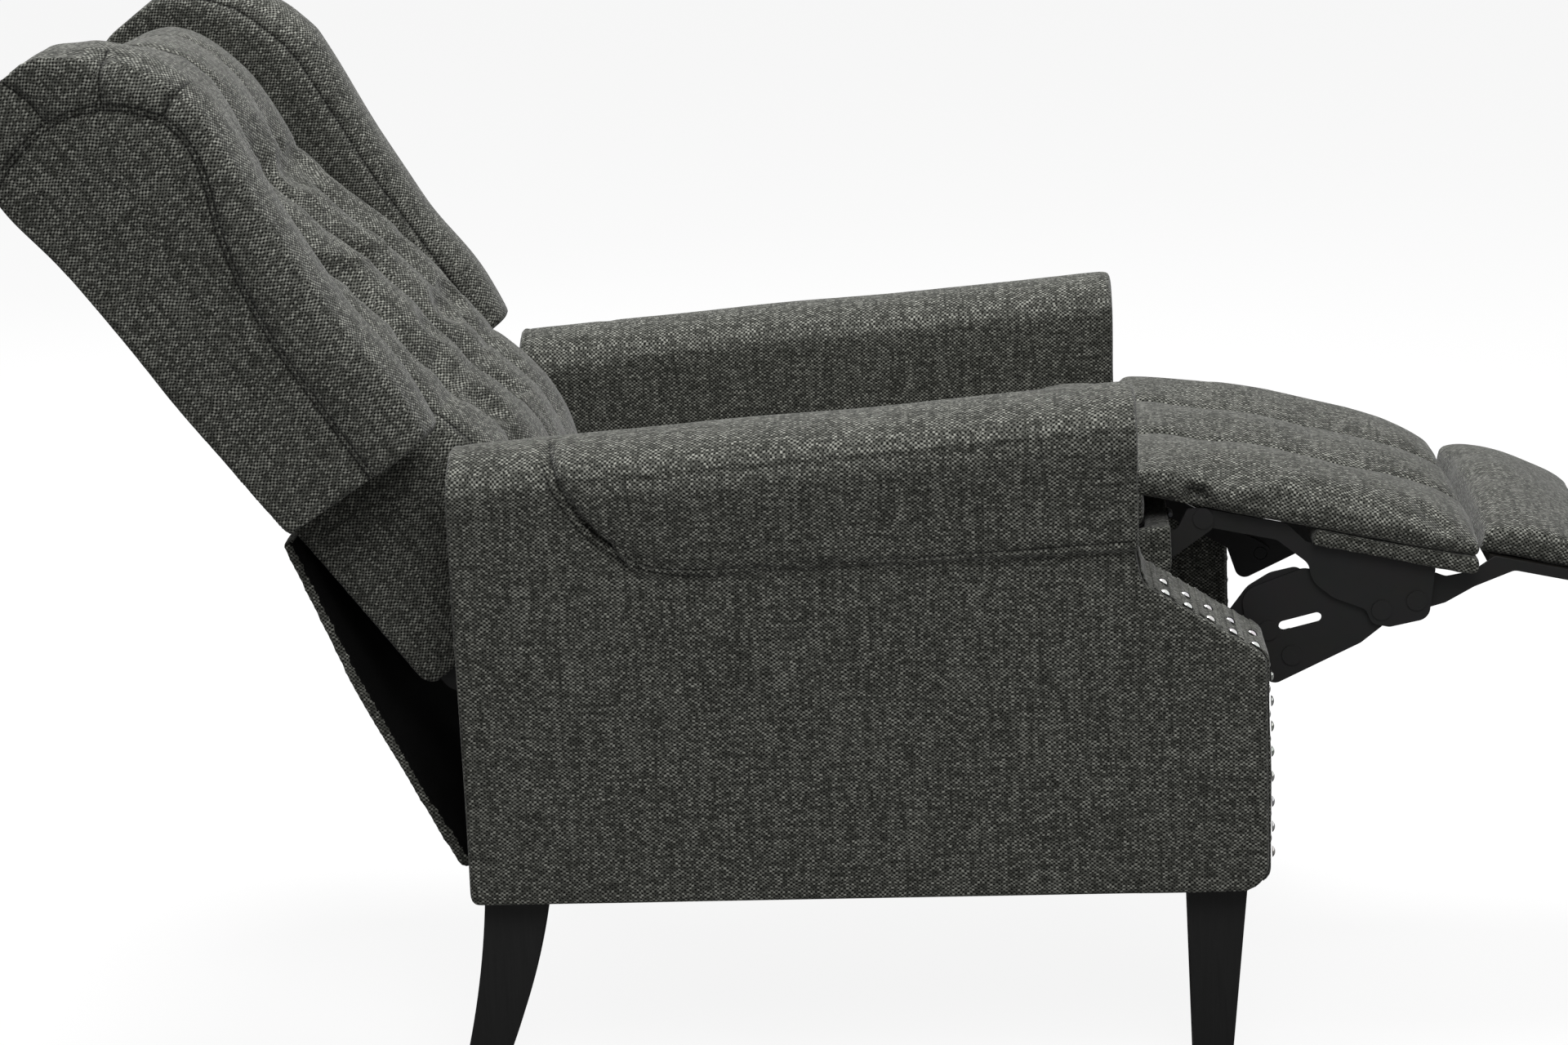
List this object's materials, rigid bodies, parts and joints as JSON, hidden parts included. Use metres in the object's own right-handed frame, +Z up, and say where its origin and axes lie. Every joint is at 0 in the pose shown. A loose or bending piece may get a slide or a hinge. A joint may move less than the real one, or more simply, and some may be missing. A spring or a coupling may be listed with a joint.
{
  "type": "recliner",
  "caption": "Push-back wing recliner with tufted back, rolled arms, channelled footrest pad, fold-out extension and tapered legs, shown reclined.",
  "frame": {"origin": "on the floor, under the middle of the chair's bounding box as it lies back", "axes": "+X forward, where the footrest points; +Y to the sitter's left; +Z up"},
  "size_m": [1.4248, 0.7415, 0.9417],
  "materials": {
    "tweed": "coarse heathered weave",
    "black_wood": "satin black",
    "frame_wood": "raw timber",
    "board_wood": "dark board",
    "webbing": "elastic webbing",
    "black_steel": "satin black",
    "bare_steel": "bare wire",
    "nail_chrome": "polished"
  },
  "bodies": {
    "base": {"left_side_frame": "frame_wood", "right_side_frame": "frame_wood", "left_side_cover": "tweed", "right_side_cover": "tweed", "left_front_facing": "tweed", "right_front_facing": "tweed", "left_arm_pad": "tweed", "right_arm_pad": "tweed", "left_nailheads": "nail_chrome", "right_nailheads": "nail_chrome", "front_left_leg": "black_wood", "front_right_leg": "black_wood", "rear_left_leg": "black_wood", "rear_right_leg": "black_wood", "leg_bolts": "bare_steel", "rear_cross_rail": "frame_wood", "front_cross_rail": "frame_wood", "left_base_rail": "black_steel", "right_base_rail": "black_steel", "base_rail_bolts": "black_steel", "rear_pivot_shaft": "black_steel", "flap_hinge_rod": "black_steel"},
    "back": {"back_left_post": "frame_wood", "back_right_post": "frame_wood", "back_bottom_rail": "frame_wood", "back_top_rail": "frame_wood", "left_back_bracket": "black_steel", "right_back_bracket": "black_steel", "back_bracket_bolts": "black_steel", "back_webbing": "webbing", "outside_back_cover": "tweed", "back_cushion": "tweed", "left_wing": "tweed", "right_wing": "tweed"},
    "seat": {"seat_left_rail": "frame_wood", "seat_right_rail": "frame_wood", "seat_front_rail": "frame_wood", "seat_rear_rail": "frame_wood", "seat_springs": "bare_steel", "seat_cushion": "tweed", "left_seat_plate": "black_steel", "right_seat_plate": "black_steel", "seat_plate_bolts": "black_steel"},
    "lift_links": {"left_lift_link": "black_steel", "right_lift_link": "black_steel"},
    "rear_flap": {"rear_flap": "tweed"},
    "footrest": {"leg_pad": "tweed", "footrest_board": "tweed", "left_footrest_arm": "black_steel", "right_footrest_arm": "black_steel", "footrest_bolts": "black_steel"},
    "follower_links": {"left_follower_link": "black_steel", "right_follower_link": "black_steel"},
    "carrier_plates": {"left_carrier_plate": "black_steel", "right_carrier_plate": "black_steel", "carrier_bolts": "black_steel"},
    "extension": {"extension_pad": "tweed", "extension_board": "board_wood", "left_extension_arm": "black_steel", "right_extension_arm": "black_steel"}
  },
  "joints": [
    {"name": "back_recline", "type": "hinge", "parent": "base", "child": "back", "pos_m": [-0.24834, 0, 0.331], "axis": [0, 1, 0], "range_deg": [0, 26]},
    {"name": "seat_tilt", "type": "hinge", "parent": "base", "child": "seat", "pos_m": [-0.24834, 0, 0.331], "axis": [0, 1, 0], "range_deg": [0, 4.5]},
    {"name": "lift_link_swing", "type": "hinge", "parent": "base", "child": "lift_links", "pos_m": [0.13967, 0, 0.27], "axis": [0, 1, 0], "range_deg": [0, 20.6]},
    {"name": "rear_flap_swing", "type": "hinge", "parent": "base", "child": "rear_flap", "pos_m": [-0.32233, 0, 0.19], "axis": [0, 1, 0], "range_deg": [0, 17.8]},
    {"name": "footrest_fold", "type": "hinge", "parent": "seat", "child": "footrest", "pos_m": [0.33966, 0, 0.484], "axis": [0, 1, 0], "range_deg": [0, 75]},
    {"name": "follower_swing", "type": "hinge", "parent": "seat", "child": "follower_links", "pos_m": [0.26066, 0, 0.443], "axis": [0, 1, 0], "range_deg": [0, 75]},
    {"name": "carrier_level", "type": "hinge", "parent": "footrest", "child": "carrier_plates", "pos_m": [0.49671, 0, 0.39603], "axis": [0, 1, 0], "range_deg": [-75, 0]},
    {"name": "extension_fold", "type": "hinge", "parent": "footrest", "child": "extension", "pos_m": [0.52763, 0, 0.40397], "axis": [0, 1, 0], "range_deg": [0, 82]}
  ],
  "couplings": [
    {"joint": "seat_tilt", "follows": "back_recline", "ratio": 0.173},
    {"joint": "lift_link_swing", "follows": "back_recline", "ratio": 0.7923},
    {"joint": "rear_flap_swing", "follows": "back_recline", "ratio": 0.6846},
    {"joint": "follower_swing", "follows": "footrest_fold", "ratio": 1},
    {"joint": "carrier_level", "follows": "footrest_fold", "ratio": -1},
    {"joint": "extension_fold", "follows": "footrest_fold", "ratio": 1.0933}
  ]
}
